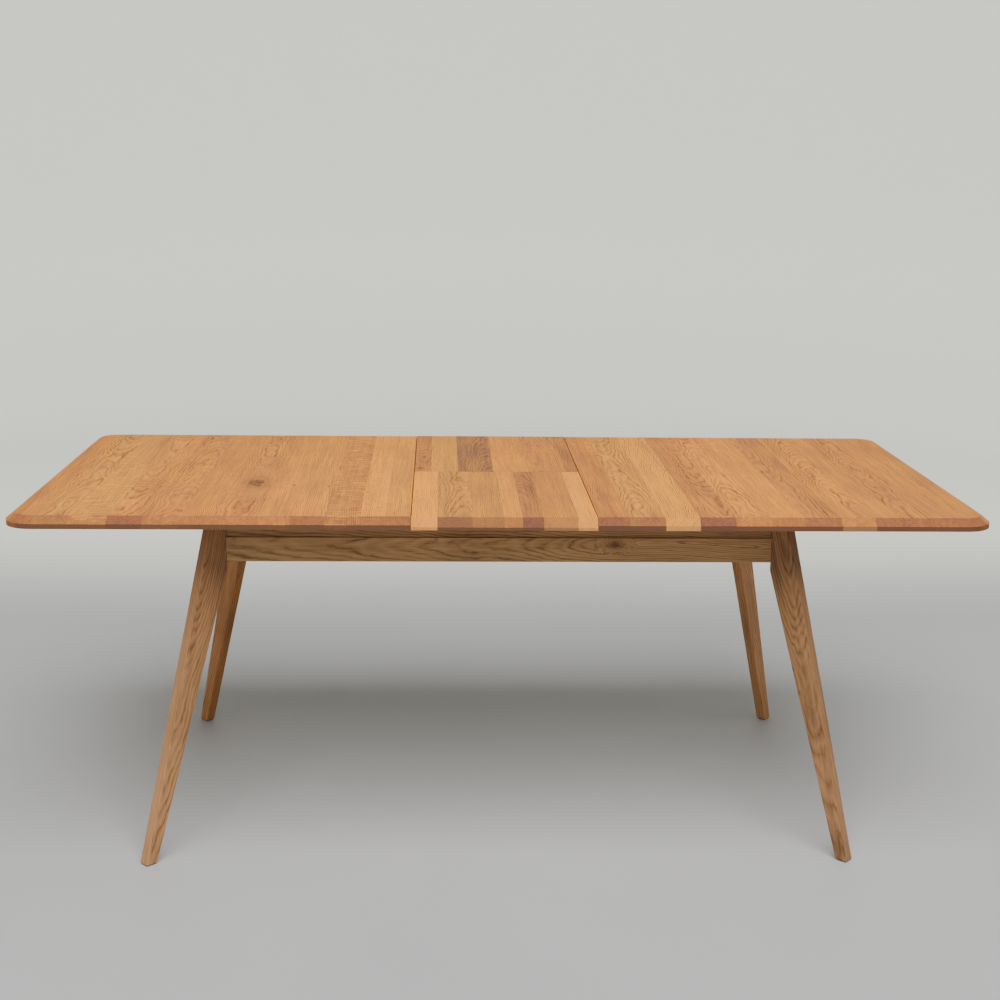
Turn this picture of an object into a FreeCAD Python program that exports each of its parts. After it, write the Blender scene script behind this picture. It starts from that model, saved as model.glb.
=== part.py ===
"""Extending dining table in solid oak, pulled out with its folding centre leaf in place.

Millimetres. X runs along the table, Y from front to back, Z up, with the floor at zero and the origin
under the middle of the leaf. The two ends of the table are the same pieces turned half round.
"""
import os
import re

import FreeCAD
import Part
import Sketcher

# The driving dimensions: name, size and what it measures.
SIZES = [
    ("table_height", 750, "floor to the top face"),
    ("table_depth", 900, "front edge to back edge"),
    ("half_length", 800, "one half of the top along the table"),
    ("leaf_length", 370, "the leaf along the table"),
    ("top_thick", 24, "thickness of the top and the leaf"),
    ("seam_gap", 0.8, "running gap between a half and the leaf"),
    ("bevel_width", 18, "bevel of the top edge, on the top face"),
    ("bevel_drop", 14, "bevel of the top edge, down the side"),
    ("corner_radius", 60, "rounding of the top's corners"),
    ("end_overhang", 211, "end of the closed top out past the end apron"),
    ("front_overhang", 178, "front edge of the top out past the long apron"),
    ("apron_drop", 61, "underside of the top down to the aprons"),
    ("apron_height", 52, "height of the aprons"),
    ("apron_thick", 22, "thickness of the aprons"),
    ("apron_round", 2, "eased lower edge of the aprons"),
    ("mitre_gap", 9, "slot for the leg bolts between the mitred apron ends"),
    ("top_clearance", 4, "gap between the frame and the sliding top"),
    ("rail_setback", 4, "step from the apron's face back to the guide rail"),
    ("rail_thick", 28, "thickness of the guide rails"),
    ("runner_width", 22, "thickness of the runners"),
    ("runner_inset", 60, "a runner's outer end short of the end of the top"),
    ("runner_reach", 10, "a runner's inner end short of the far seam"),
    ("slide_gap", 0.5, "running gap beside runners and tongues"),
    ("bearer_height", 12, "strips on the end aprons that the runners slide over"),
    ("bearing_gap", 0.3, "running gap between a runner and the strip it crosses"),
    ("tongue_rise", 16, "underside of a runner to the middle of its tongue"),
    ("tongue_height", 9, "height of the tongues"),
    ("tongue_depth", 7, "how far the tongues stand out"),
    ("tongue_margin", 189, "outer end of an outer runner's tongue inside the end of the frame"),
    ("tongue_inset", 25, "inner end of an outer runner's tongue short of the runner's end"),
    ("inner_tongue_length", 250, "tongue of an inner runner"),
    ("overtravel", 45, "how far a half slides past the leaf"),
    ("stop_gap", 0.5, "gap left at the stops"),
    ("leg_thick", 25, "thickness of the leg boards"),
    ("foot_width", 26, "width of a leg at the floor"),
    ("foot_reach", 212, "middle of a foot out from the leg's seat on the frame"),
    ("knee_drop", 19, "lower edge of the aprons down to where a leg's inner edge turns upright"),
    ("leg_head", 31, "width of a leg at its top"),
    ("leg_round", 2, "eased long edges of the legs"),
    ("glide_thick", 3, "thickness of the pads under the feet"),
    ("glide_side", 20, "side of the square pads"),
    ("block_side", 66, "corner block along an apron"),
    ("block_tip", 8, "flat across the corner block's tip, half of it"),
    ("block_inset", 3, "corner block short of the apron's edges"),
    ("bolt_radius", 4, "leg bolts"),
    ("bolt_depth", 32, "leg bolts into the leg"),
    ("bolt_tail", 4, "leg bolts past their nuts"),
    ("bolt_low", 14, "lower leg bolt above the apron's edge"),
    ("bolt_step", 24, "between the two bolts of a leg"),
    ("bore_gap", 0.2, "clearance of every bore, on the radius"),
    ("washer_radius", 10, "washers of the leg bolts"),
    ("washer_thick", 2, "washers of the leg bolts"),
    ("nut_radius", 7.5, "hexagon nuts, across corners, half of it"),
    ("nut_height", 6.5, "hexagon nuts"),
    ("screw_radius", 2.2, "shanks of the wood screws"),
    ("screw_head", 4.5, "heads of the wood screws, radius"),
    ("screw_cap", 3.5, "heads of the wood screws, height"),
    ("screw_bite", 14, "wood screws into the piece that they hold on to"),
    ("runner_bore", 26, "depth of the wide bore for a runner screw's head"),
    ("bearer_margin", 90, "end screws of a bearing strip from its ends"),
    ("screw_margin", 40, "end screws from the ends of what they hold"),
    ("dowel_radius", 3, "dowels under the guide rails"),
    ("dowel_half", 12, "dowels, half their length"),
    ("dowel_inset", 109, "outer dowels from the ends of the frame"),
    ("dowel_share", 0.375, "place of the inner dowels, of the way to the outer ones"),
    ("ledger_margin", 75, "ledgers of the leaf rack past the stored leaf"),
    ("ledger_depth", 20, "ledgers, front to back"),
    ("ledger_height", 18, "ledgers, bottom to top"),
    ("slat_width", 60, "slats of the leaf rack"),
    ("slat_thick", 14, "slats of the leaf rack"),
    ("slat_share", 0.4, "distance between the slats, of the stored leaf's length"),
    ("slat_gap", 1, "slat ends from the aprons"),
    ("barrel_radius", 7, "barrels of the leaf's concealed hinges"),
    ("barrel_length", 20, "depth of a barrel in its panel"),
    ("hinge_margin", 55, "outer hinges of the leaf from its seams"),
    ("arm_width", 4, "curved arms of the hinges"),
    ("arm_thick", 3, "curved arms of the hinges"),
    ("slot_gap", 0.3, "clearance of an arm in its slot"),
    ("slot_depth", 9, "slots of the barrels"),
    ("overrun", 5, "how far a cutting tool starts outside the piece"),
]

# Places worked out from the driving dimensions.
PLACES = {
    "underside": "table_height - top_thick",
    "seam": "leaf_length / 2 + seam_gap",
    "half_end": "seam + half_length",
    "front_edge": "table_depth / 2",
    "fold_edge": "seam_gap / 2",
    "frame_half_length": "half_length - end_overhang",
    "frame_half_width": "front_edge - front_overhang",
    "frame_top": "underside - top_clearance",
    "apron_top": "underside - apron_drop",
    "apron_bottom": "apron_top - apron_height",
    "knee_height": "apron_bottom - knee_drop",
    "apron_inner": "frame_half_width - apron_thick",
    "end_inner": "frame_half_length - apron_thick",
    "seat_cut": "leg_thick / sqrt(2)",
    "seat_x": "frame_half_length - seat_cut / 2",
    "seat_y": "frame_half_width - seat_cut / 2",
    "slot_cut": "mitre_gap / 2 / sqrt(2)",
    "inner_corner": "leg_thick / 2 - apron_thick * sqrt(2)",
    "block_back": "inner_corner - block_side / sqrt(2)",
    "rail_outer": "frame_half_width - rail_setback",
    "rail_inner": "rail_outer - rail_thick",
    "bearer_top": "apron_top + bearer_height",
    "bearer_line": "frame_half_length - apron_thick / 2",
    "bearer_step": "rail_inner - bearer_margin",
    "runner_bottom": "bearer_top + bearing_gap",
    "runner_height": "underside - runner_bottom",
    "outer_face": "rail_inner - slide_gap",
    "outer_back": "outer_face - runner_width",
    "inner_face": "outer_back - slide_gap",
    "inner_back": "inner_face - runner_width",
    "runner_start": "half_end - runner_inset",
    "runner_end": "leaf_length / 2 - runner_reach",
    "outer_tongue_far": "frame_half_length - tongue_margin",
    "outer_tongue_near": "runner_end - tongue_inset",
    "tongue_bottom": "runner_bottom + tongue_rise - tongue_height / 2",
    "groove_bottom": "tongue_bottom - slide_gap",
    "groove_height": "tongue_height + 2 * slide_gap",
    "screw_seat": "runner_bottom + runner_bore",
    "screw_step": "(runner_start - seam - 2 * screw_margin) / (runner_screws - 1)",
    "dowel_line": "(rail_outer + apron_inner) / 2",
    "dowel_far": "frame_half_length - dowel_inset",
    "dowel_near": "dowel_far * dowel_share",
    "ledger_half": "front_edge / 2 + ledger_margin",
    "slat_step": "front_edge * slat_share",
    "ledger_inner": "apron_inner - ledger_depth",
    "ledger_top": "apron_bottom + ledger_height",
    "ledger_line": "apron_bottom + ledger_height / 2",
    "slat_line": "apron_inner - ledger_depth / 2",
    "slat_top": "ledger_top + slat_thick",
    "hinge_step": "leaf_length / 2 - hinge_margin",
    "barrel_line": "table_height - top_thick / 2",
    "arm_inner": "top_thick / 2 - arm_thick / 2",
    "arm_outer": "top_thick / 2 + arm_thick / 2",
}

# Counts.
COUNTS = {"runner_screws": 4}

# The four corners: name, side along X, side along Y and the way that the leg points, in degrees.
CORNERS = [
    ("front_left", -1, -1, -135),
    ("front_right", 1, -1, -45),
    ("back_right", 1, 1, 45),
    ("back_left", -1, 1, 135),
]
HALF_TURN = 180
QUARTER_TURN = 90
NUT_SIDES = 6
SCREW_SIDES = 8
BOLT_SIDES = 12
ARM_SWEEP = 35

doc = FreeCAD.newDocument("ExtendingTable")
sheet = doc.addObject("Spreadsheet::Sheet", "Sizes")
for row, (alias, size, meaning) in enumerate(SIZES, start=1):
    sheet.set("A%d" % row, meaning)
    sheet.set("B%d" % row, str(size))
    sheet.setAlias("B%d" % row, alias)
doc.recompute()
ALIASES = [alias for alias, size, meaning in SIZES]
nodes = []


def formula(text):
    """Spell out the named places in a formula and point its sizes at the spreadsheet."""
    def spell(match):
        word = match.group()
        if word in PLACES:
            return "(" + formula(PLACES[word]) + ")"
        if word in COUNTS:
            return str(COUNTS[word])
        return "Sizes." + word if word in ALIASES else word
    return re.sub(r"[a-z_]+", spell, text)


def amount(text):
    """Today's value of a formula."""
    return float(sheet.evalExpression(formula(text)))


def bind(thing, **sizes):
    """Tie properties of an object to formulas."""
    for name, text in sizes.items():
        thing.setExpression(name, formula(text))


def place(thing, x="0", y="0", z="0", turn=0, axis=FreeCAD.Vector(0, 0, 1)):
    """Turn an object and tie its place to formulas."""
    thing.Placement = FreeCAD.Placement(FreeCAD.Vector(), FreeCAD.Rotation(axis, turn))
    for letter, text in zip("xyz", (x, y, z)):
        thing.setExpression("Placement.Base." + letter, formula(text))
    return thing


def node(label, thing):
    """Name a finished piece, which also names its file."""
    thing.Label = label
    nodes.append(thing)
    return thing


def box(x, y, z, length, depth, height):
    """A block from its lowest corner and its three sides."""
    block = doc.addObject("Part::Box", "Block")
    bind(block, Length=length, Width=depth, Height=height)
    return place(block, x, y, z)


def turned_to(bar, x, y, z, along):
    """Lay a bar that was made upright along an axis, from a point."""
    turns = {"x": FreeCAD.Vector(0, 1, 0), "y": FreeCAD.Vector(-1, 0, 0), "z": FreeCAD.Vector(0, 0, 1)}
    return place(bar, x, y, z, 0 if along == "z" else QUARTER_TURN, turns[along])


def rod(radius, length, x="0", y="0", z="0", along="z"):
    """A round rod that starts at a point and runs along an axis."""
    bar = doc.addObject("Part::Cylinder", "Rod")
    bind(bar, Radius=radius, Height=length)
    return turned_to(bar, x, y, z, along)


def pin(radius, length, x="0", y="0", z="0", along="z", sides=SCREW_SIDES):
    """A fastener's straight stretch or its bore, drawn with flats because there are so many of them."""
    bar = doc.addObject("Part::Prism", "Pin")
    bar.Polygon = sides
    bind(bar, Circumradius=radius, Height=length)
    return turned_to(bar, x, y, z, along)


def fused(*pieces):
    """Several shapes joined into one."""
    joined = doc.addObject("Part::MultiFuse", "Joined")
    joined.Shapes = list(pieces)
    return joined


def cut(base, *tools):
    """A shape less the tools that are sunk into it."""
    remainder = doc.addObject("Part::Cut", "Remainder")
    remainder.Base = base
    remainder.Tool = tools[0] if len(tools) == 1 else fused(*tools)
    return remainder


def group(pieces):
    """Separate like solids in one object."""
    together = doc.addObject("Part::Compound", "Group")
    together.Links = pieces
    return together


def sketch_on(body, role, points):
    """A closed outline on one of the body's own planes, each corner held by its formulas."""
    sketch = body.newObject("Sketcher::SketchObject", "Outline")
    plane = [feature for feature in body.Origin.OriginFeatures if feature.Role == role][0]
    sketch.AttachmentSupport = [(plane, "")]
    sketch.MapMode = "FlatFace"
    corners = [FreeCAD.Vector(amount(x), amount(y), 0) for x, y in points]
    count = len(corners)
    for index, corner in enumerate(corners):
        sketch.addGeometry(Part.LineSegment(corner, corners[(index + 1) % count]))
    for index in range(count):
        sketch.addConstraint(Sketcher.Constraint("Coincident", index, 2, (index + 1) % count, 1))
    for index, texts in enumerate(points):
        for kind, axis, text, value in zip(("DistanceX", "DistanceY"), (-2, -1), texts, corners[index]):
            if text == "0":
                sketch.addConstraint(Sketcher.Constraint("PointOnObject", index, 1, axis))
            else:
                held = sketch.addConstraint(Sketcher.Constraint(kind, -1, 1, index, 1, value))
                sketch.setExpression("Constraints[%d]" % held, formula(text))
    return sketch


def board(points, thick, start="0", role="XY_Plane", midplane=False):
    """A body padded from an outline: flat from a height up, or upright about its middle plane."""
    body = doc.addObject("PartDesign::Body", "Board")
    sketch = sketch_on(body, role, points)
    sketch.setExpression("AttachmentOffset.Base.z", formula(start))
    pad = body.newObject("PartDesign::Pad", "Pad")
    pad.Profile = sketch
    pad.Midplane = midplane
    bind(pad, Length=thick)
    doc.recompute()
    return body


def dress(body, kind, chosen, **sizes):
    """Ease, round or bevel the edges of a body that a test picks out."""
    base = body.Tip
    names = ["Edge%d" % (index + 1) for index, edge in enumerate(base.Shape.Edges) if chosen(edge)]
    feature = body.newObject("PartDesign::" + kind, kind)
    feature.Base = (base, names)
    if kind == "Chamfer":
        feature.ChamferType = "Two distances"
    bind(feature, **sizes)
    doc.recompute()
    return feature


def near(value, text):
    """Whether a coordinate lies at a formula's place."""
    return abs(value - amount(text)) < amount("slide_gap / 2")


def upright(edge):
    """Whether an edge stands straight up."""
    box_of_edge = edge.BoundBox
    return box_of_edge.ZLength > max(box_of_edge.XLength, box_of_edge.YLength)


def mirrored(points, along):
    """The other half of an outline, reflected across the X or the Y axis and walked back."""
    if along == "x":
        return [("-(%s)" % x, y) for x, y in reversed(points)]
    return [(x, "-(%s)" % y) for x, y in reversed(points)]


def screw(length, x, y, z, along, back=False):
    """A wood screw whose head's underside is at a point, with its shank along an axis or back along it."""
    spot = {"x": x, "y": y, "z": z}
    tail = dict(spot)
    cap = dict(spot)
    if back:
        tail[along] = "%s - (%s)" % (spot[along], length)
    else:
        cap[along] = "%s - screw_cap" % spot[along]
    shank = pin("screw_radius", length, along=along, **tail)
    return fused(shank, pin("screw_head", "screw_cap", along=along, **cap))


# The four legs are boards set cornerwise. Each tapers to its foot, leans out along the diagonal and has an
# upright inner edge that seats on the chamfered corner of the frame. Two bolts run into that edge.
LEG = [
    ("foot_reach - foot_width / 2", "glide_thick"),
    ("foot_reach + foot_width / 2", "glide_thick"),
    ("leg_head", "frame_top"),
    ("0", "frame_top"),
    ("0", "knee_height"),
]
BOLT_HEIGHTS = ["apron_bottom + bolt_low", "apron_bottom + bolt_low + bolt_step"]


def long_edge(edge):
    """Whether an edge runs the length of a leg, on its outer side or its inner taper."""
    return edge.BoundBox.XLength > amount("leg_head") and edge.BoundBox.ZLength > amount("knee_height / 2")


def at_corner(thing, corner):
    """Set a piece that was made along X to one corner of the frame."""
    name, side_x, side_y, heading = corner
    return place(thing, "%d * seat_x" % side_x, "%d * seat_y" % side_y, "0", heading)


for corner in CORNERS:
    body = board(LEG, "leg_thick", role="XZ_Plane", midplane=True)
    dress(body, "Fillet", long_edge, Radius="leg_round")
    bores = [
        pin("bolt_radius + bore_gap", "bolt_depth + bore_gap + overrun", "-overrun", "0", height, "x",
            BOLT_SIDES)
        for height in BOLT_HEIGHTS
    ]
    node("leg_" + corner[0], at_corner(cut(body, *bores), corner))

# A thin pad under each foot keeps the end grain off the floor.
PAD = [
    ("foot_reach - glide_side / 2", "-glide_side / 2"),
    ("foot_reach + glide_side / 2", "-glide_side / 2"),
    ("foot_reach + glide_side / 2", "glide_side / 2"),
    ("foot_reach - glide_side / 2", "glide_side / 2"),
]
for corner in CORNERS:
    node("glide_" + corner[0], at_corner(board(PAD, "glide_thick"), corner))

# The aprons are mitred at the corners, with a slot for the leg bolts between their ends and the outer corner
# cut off square to the diagonal for the leg. The long ones carry the guide rails and the leaf rack.
LONG_END = [
    ("-(frame_half_length - seat_cut)", "-frame_half_width"),
    ("-(seat_x - slot_cut)", "-(seat_y + slot_cut)"),
    ("-(end_inner - 2 * slot_cut)", "-apron_inner"),
]
SHORT_END = [
    ("-end_inner", "-(apron_inner - 2 * slot_cut)"),
    ("-(seat_x + slot_cut)", "-(seat_y - slot_cut)"),
    ("-frame_half_length", "-(frame_half_width - seat_cut)"),
]
DOWEL_SPOTS = ["-dowel_far", "-dowel_near", "dowel_near", "dowel_far"]
LEDGER_SPOTS = ["-(ledger_half - screw_margin)", "ledger_half - screw_margin"]
BEARER_SPOTS = ["-bearer_step", "0", "bearer_step"]


def lower_edge(edge):
    """Whether an edge is the long lower one on an apron's outer face."""
    low = near(edge.BoundBox.ZMax, "apron_bottom")
    outside = near(edge.BoundBox.YMax, "-frame_half_width") or near(edge.BoundBox.XMax, "-frame_half_length")
    return low and outside


for label, turn in (("apron_front", 0), ("apron_back", HALF_TURN)):
    body = board(LONG_END + mirrored(LONG_END, "x"), "apron_height", "apron_bottom")
    dress(body, "Fillet", lower_edge, Radius="apron_round")
    dowels = [
        pin("dowel_radius + bore_gap", "dowel_half + bore_gap + overrun", x, "-dowel_line",
            "apron_top - dowel_half - bore_gap")
        for x in DOWEL_SPOTS
    ]
    pilots = [
        pin("screw_radius + bore_gap", "screw_bite + bore_gap + overrun", x,
            "-apron_inner - screw_bite - bore_gap", "ledger_line", "y")
        for x in LEDGER_SPOTS
    ]
    node(label, place(cut(body, *dowels, *pilots), turn=turn))

for label, turn in (("apron_left", 0), ("apron_right", HALF_TURN)):
    body = board(SHORT_END + mirrored(SHORT_END, "y"), "apron_height", "apron_bottom")
    dress(body, "Fillet", lower_edge, Radius="apron_round")
    pilots = [
        pin("screw_radius + bore_gap", "screw_bite + bore_gap + overrun", "-bearer_line", y,
            "apron_top - screw_bite - bore_gap")
        for y in BEARER_SPOTS
    ]
    node(label, place(cut(body, *pilots), turn=turn))

# Glued blocks stiffen the corners inside, and the leg bolts draw the legs up against the frame through them.
BLOCK = [
    ("inner_corner - block_tip", "block_tip"),
    ("block_back", "block_side / sqrt(2)"),
    ("block_back", "-block_side / sqrt(2)"),
    ("inner_corner - block_tip", "-block_tip"),
]
for corner in CORNERS:
    body = board(BLOCK, "apron_height - 2 * block_inset", "apron_bottom + block_inset")
    bores = [
        pin("bolt_radius + bore_gap", "block_side + overrun", "block_back - overrun", "0", height, "x",
            BOLT_SIDES)
        for height in BOLT_HEIGHTS
    ]
    node("corner_block_" + corner[0], at_corner(cut(body, *bores), corner))


def ring(radius, thick, start, height, sides):
    """A nut or washer on a leg bolt."""
    blank = pin(radius, thick, start, "0", height, "x", sides)
    hole = pin("bolt_radius + bore_gap", "%s + 2 * overrun" % thick, "%s - overrun" % start, "0", height, "x",
               BOLT_SIDES)
    return cut(blank, hole)


def washer(height):
    """A flat washer against the corner block."""
    return ring("washer_radius", "washer_thick", "block_back - washer_thick", height, BOLT_SIDES)


def nut(height):
    """A hexagon nut on its washer."""
    return ring("nut_radius", "nut_height", "block_back - washer_thick - nut_height", height, NUT_SIDES)


def bolt(height):
    """A leg bolt, from past its nut to the end of its bore in the leg."""
    return pin("bolt_radius", "bolt_depth - block_back + washer_thick + nut_height + bolt_tail",
               "block_back - washer_thick - nut_height - bolt_tail", "0", height, "x", BOLT_SIDES)


for label, make in (("leg_bolts", bolt), ("leg_washers", washer), ("leg_nuts", nut)):
    pairs = [at_corner(group([make(height) for height in BOLT_HEIGHTS]), corner) for corner in CORNERS]
    node(label, group(pairs))

# The guide rails stand on the long aprons, set back a little, and end on the legs. A stopped groove in the
# inner face takes the tongue of one half's outer runner, and its ends stop that half.
RAIL_END = [
    ("-(frame_half_length - seat_cut + rail_setback)", "-rail_outer"),
    ("-frame_half_length", "-(frame_half_width - seat_cut)"),
    ("-frame_half_length", "-rail_inner"),
]
for label, turn in (("guide_rail_front", 0), ("guide_rail_back", HALF_TURN)):
    body = board(RAIL_END + mirrored(RAIL_END, "x"), "frame_top - apron_top", "apron_top")
    groove = box("-(outer_tongue_far + overtravel + stop_gap)", "-(rail_inner + tongue_depth)",
                 "groove_bottom", "outer_tongue_far + outer_tongue_near + overtravel + seam + 2 * stop_gap",
                 "tongue_depth + overrun", "groove_height")
    dowels = [
        pin("dowel_radius + bore_gap", "dowel_half + bore_gap + overrun", x, "-dowel_line",
            "apron_top - overrun")
        for x in DOWEL_SPOTS
    ]
    node(label, place(cut(body, groove, *dowels), turn=turn))

rows = []
for turn in (0, HALF_TURN):
    dowels = [
        pin("dowel_radius", "2 * dowel_half", x, "-dowel_line", "apron_top - dowel_half") for x in DOWEL_SPOTS
    ]
    rows.append(place(group(dowels), turn=turn))
node("rail_dowels", group(rows))

# A strip screwed on each end apron, between the guide rails, bears the runners that pass over it.
rows = []
for side, turn in (("left", 0), ("right", HALF_TURN)):
    strip = box("-frame_half_length", "-rail_inner", "apron_top", "apron_thick", "2 * rail_inner",
                "bearer_height")
    heads = []
    for y in BEARER_SPOTS:
        heads.append(pin("screw_radius + bore_gap", "bearer_height + 2 * overrun", "-bearer_line", y,
                         "apron_top - overrun"))
        heads.append(pin("screw_head + bore_gap", "screw_cap + overrun", "-bearer_line", y,
                         "bearer_top - screw_cap"))
    node("bearer_" + side, place(cut(strip, *heads), turn=turn))
    screws = [
        screw("bearer_height - screw_cap + screw_bite", "-bearer_line", y, "bearer_top - screw_cap", "z",
              True)
        for y in BEARER_SPOTS
    ]
    rows.append(place(group(screws), turn=turn))
node("bearer_screws", group(rows))

# The folded leaf lies on a rack low in the frame: three slats on a ledger along each long apron.
SLAT_SPOTS = ["-slat_step", "0", "slat_step"]
for label, turn in (("ledger_front", 0), ("ledger_back", HALF_TURN)):
    bar = box("-ledger_half", "-apron_inner", "apron_bottom", "2 * ledger_half", "ledger_depth",
              "ledger_height")
    heads = []
    for x in LEDGER_SPOTS:
        heads.append(pin("screw_radius + bore_gap", "ledger_depth + 2 * overrun", x, "-apron_inner - overrun",
                         "ledger_line", "y"))
        heads.append(pin("screw_head + bore_gap", "screw_cap + overrun", x, "-ledger_inner - screw_cap",
                         "ledger_line", "y"))
    pilots = [
        pin("screw_radius + bore_gap", "screw_bite + overrun", x, "-slat_line", "ledger_top - screw_bite")
        for x in SLAT_SPOTS
    ]
    node(label, place(cut(bar, *heads, *pilots), turn=turn))

for label, x in zip(("leaf_slat_left", "leaf_slat_middle", "leaf_slat_right"), SLAT_SPOTS):
    slat = box("%s - slat_width / 2" % x, "-(apron_inner - slat_gap)", "ledger_top", "slat_width",
               "2 * (apron_inner - slat_gap)", "slat_thick")
    heads = []
    for y in ("-slat_line", "slat_line"):
        heads.append(pin("screw_radius + bore_gap", "slat_thick + 2 * overrun", x, y, "ledger_top - overrun"))
        heads.append(pin("screw_head + bore_gap", "screw_cap + overrun", x, y, "slat_top - screw_cap"))
    node(label, cut(slat, *heads))

rows = []
for turn in (0, HALF_TURN):
    screws = [
        screw("ledger_depth - screw_cap + screw_bite", x, "-ledger_inner - screw_cap", "ledger_line", "y",
              True)
        for x in LEDGER_SPOTS
    ]
    rows.append(place(group(screws), turn=turn))
node("ledger_screws", group(rows))
screws = [
    screw("slat_thick - screw_cap + screw_bite - bore_gap", x, y, "slat_top - screw_cap", "z", True)
    for x in SLAT_SPOTS for y in ("-slat_line", "slat_line")
]
node("slat_screws", group(screws))

# Each half of the top is a glued slab with a broad bevel on its three outer edges and two round corners.
# Its runners lie along the table, reach under the leaf to carry it and pass the other half's runners side by
# side: the outer one has its tongue in the guide rail, the inner one in the other half's outer runner.
HALF = [
    ("-half_end", "-front_edge"),
    ("-seam", "-front_edge"),
    ("-seam", "front_edge"),
    ("-half_end", "front_edge"),
]
SCREW_SPOTS = [
    "-(runner_start - screw_margin - %d * screw_step)" % index for index in range(COUNTS["runner_screws"])
]
OUTER_LINE = "-(outer_face - runner_width / 2)"
INNER_LINE = "inner_face - runner_width / 2"


def outer_corner(edge):
    """Whether an edge is an upright one at the outer end of a half."""
    return upright(edge) and near(edge.BoundBox.XMin, "-half_end")


def top_end(edge):
    """Whether an edge is the straight top one at the outer end of a half."""
    return near(edge.BoundBox.ZMin, "table_height") and near(edge.BoundBox.XMax, "-half_end")


def slide_bar(y, tongue_x, tongue_y, tongue_length):
    """A runner with the tongue on its outer face."""
    bar = box("-runner_start", y, "runner_bottom", "runner_start + runner_end", "runner_width",
              "runner_height")
    tongue = box(tongue_x, tongue_y, "tongue_bottom", tongue_length, "tongue_depth", "tongue_height")
    return fused(bar, tongue)


def screw_bores(y):
    """The stepped bores for a runner's screws."""
    bores = []
    for x in SCREW_SPOTS:
        bores.append(pin("screw_head + bore_gap", "runner_bore + overrun", x, y, "runner_bottom - overrun"))
        bores.append(pin("screw_radius + bore_gap", "runner_height + overrun", x, y, "runner_bottom"))
    return bores


for side, turn in (("left", 0), ("right", HALF_TURN)):
    slab = board(HALF, "top_thick", "underside")
    dress(slab, "Fillet", outer_corner, Radius="corner_radius")
    dress(slab, "Chamfer", top_end, Size="bevel_width", Size2="bevel_drop")
    pilots = [
        pin("screw_radius + bore_gap", "screw_bite + bore_gap + overrun", x, y, "underside - overrun")
        for y in (OUTER_LINE, INNER_LINE) for x in SCREW_SPOTS
    ]
    node("top_" + side, place(cut(slab, *pilots), turn=turn))

    outer = slide_bar("-outer_face", "-outer_tongue_far", "-(outer_face + tongue_depth)",
                      "outer_tongue_far + outer_tongue_near")
    groove = box("-(runner_end + 2 * seam + stop_gap)", "-(outer_back + tongue_depth)", "groove_bottom",
                 "2 * runner_end + 2 * seam + stop_gap + overrun", "tongue_depth + overrun", "groove_height")
    node("outer_runner_" + side, place(cut(outer, groove, *screw_bores(OUTER_LINE)), turn=turn))

    inner = slide_bar("inner_back", "runner_end - inner_tongue_length", "inner_face", "inner_tongue_length")
    node("inner_runner_" + side, place(cut(inner, *screw_bores(INNER_LINE)), turn=turn))

    screws = [
        screw("underside - screw_seat + screw_bite", x, y, "screw_seat", "z")
        for y in (OUTER_LINE, INNER_LINE) for x in SCREW_SPOTS
    ]
    node("runner_screws_" + side, place(group(screws), turn=turn))

# The leaf is two panels hinged along the middle of the table. They fold up, show faces together, about a line
# in the top face, on concealed hinges: a slotted barrel in the edge of either panel and a curved arm.
PANEL = [
    ("-leaf_length / 2", "-front_edge"),
    ("leaf_length / 2", "-front_edge"),
    ("leaf_length / 2", "-fold_edge"),
    ("-leaf_length / 2", "-fold_edge"),
]
HINGE_SPOTS = [("left", "-hinge_step"), ("middle", "0"), ("right", "hinge_step")]


def panel_edge(edge):
    """Whether an edge is the top one at the outer side of a leaf panel."""
    return near(edge.BoundBox.ZMin, "table_height") and near(edge.BoundBox.YMax, "-front_edge")


for side, turn in (("front", 0), ("back", HALF_TURN)):
    panel = board(PANEL, "top_thick", "underside")
    dress(panel, "Chamfer", panel_edge, Size="bevel_width", Size2="bevel_drop")
    bores = [
        rod("barrel_radius + bore_gap", "barrel_length + bore_gap + overrun", x,
            "-(fold_edge + barrel_length + bore_gap)", "barrel_line", "y")
        for name, x in HINGE_SPOTS
    ]
    node("leaf_" + side, place(cut(panel, *bores), turn=turn))
    for name, x in HINGE_SPOTS:
        barrel = rod("barrel_radius", "barrel_length", x, "-(fold_edge + barrel_length)", "barrel_line", "y")
        slot = box("%s - arm_width / 2 - slot_gap" % x, "-(fold_edge + slot_depth)",
                   "barrel_line - top_thick", "arm_width + 2 * slot_gap", "slot_depth + overrun",
                   "2 * top_thick")
        node("hinge_%s_%s" % (side, name), place(cut(barrel, slot), turn=turn))


# A cylinder laid along X, with the start of its sweep along Y.
RING_START = FreeCAD.Rotation(FreeCAD.Vector(0, 1, 0), FreeCAD.Vector(0, 0, 1), FreeCAD.Vector(1, 0, 0),
                              "ZXY")


def hinge_arm(x):
    """A curved arm: a short length of ring about the line that the leaf folds on."""
    arc = []
    for radius in ("arm_outer", "arm_inner"):
        disc = rod(radius, "arm_width", "%s - arm_width / 2" % x, "0", "table_height", "x")
        disc.Angle = 2 * ARM_SWEEP
        turned = FreeCAD.Rotation(FreeCAD.Vector(1, 0, 0), -QUARTER_TURN - ARM_SWEEP)
        disc.Placement = FreeCAD.Placement(disc.Placement.Base, turned.multiply(RING_START))
        arc.append(disc)
    return cut(*arc)


node("hinge_arms", group([hinge_arm(x) for name, x in HINGE_SPOTS]))

doc.recompute()
os.makedirs("parts", exist_ok=True)
for thing in doc.Objects:
    if "Invalid" in thing.State or "Error" in thing.State:
        raise RuntimeError("%s did not compute: %s" % (thing.Label, thing.State))
for thing in nodes:
    if thing.Shape.isNull() or not thing.Shape.isValid():
        raise RuntimeError("%s has no valid shape" % thing.Label)
for thing in nodes:
    thing.Shape.exportStep(os.path.join("parts", thing.Label + ".step"))
print("%d nodes" % len(nodes))
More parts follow.
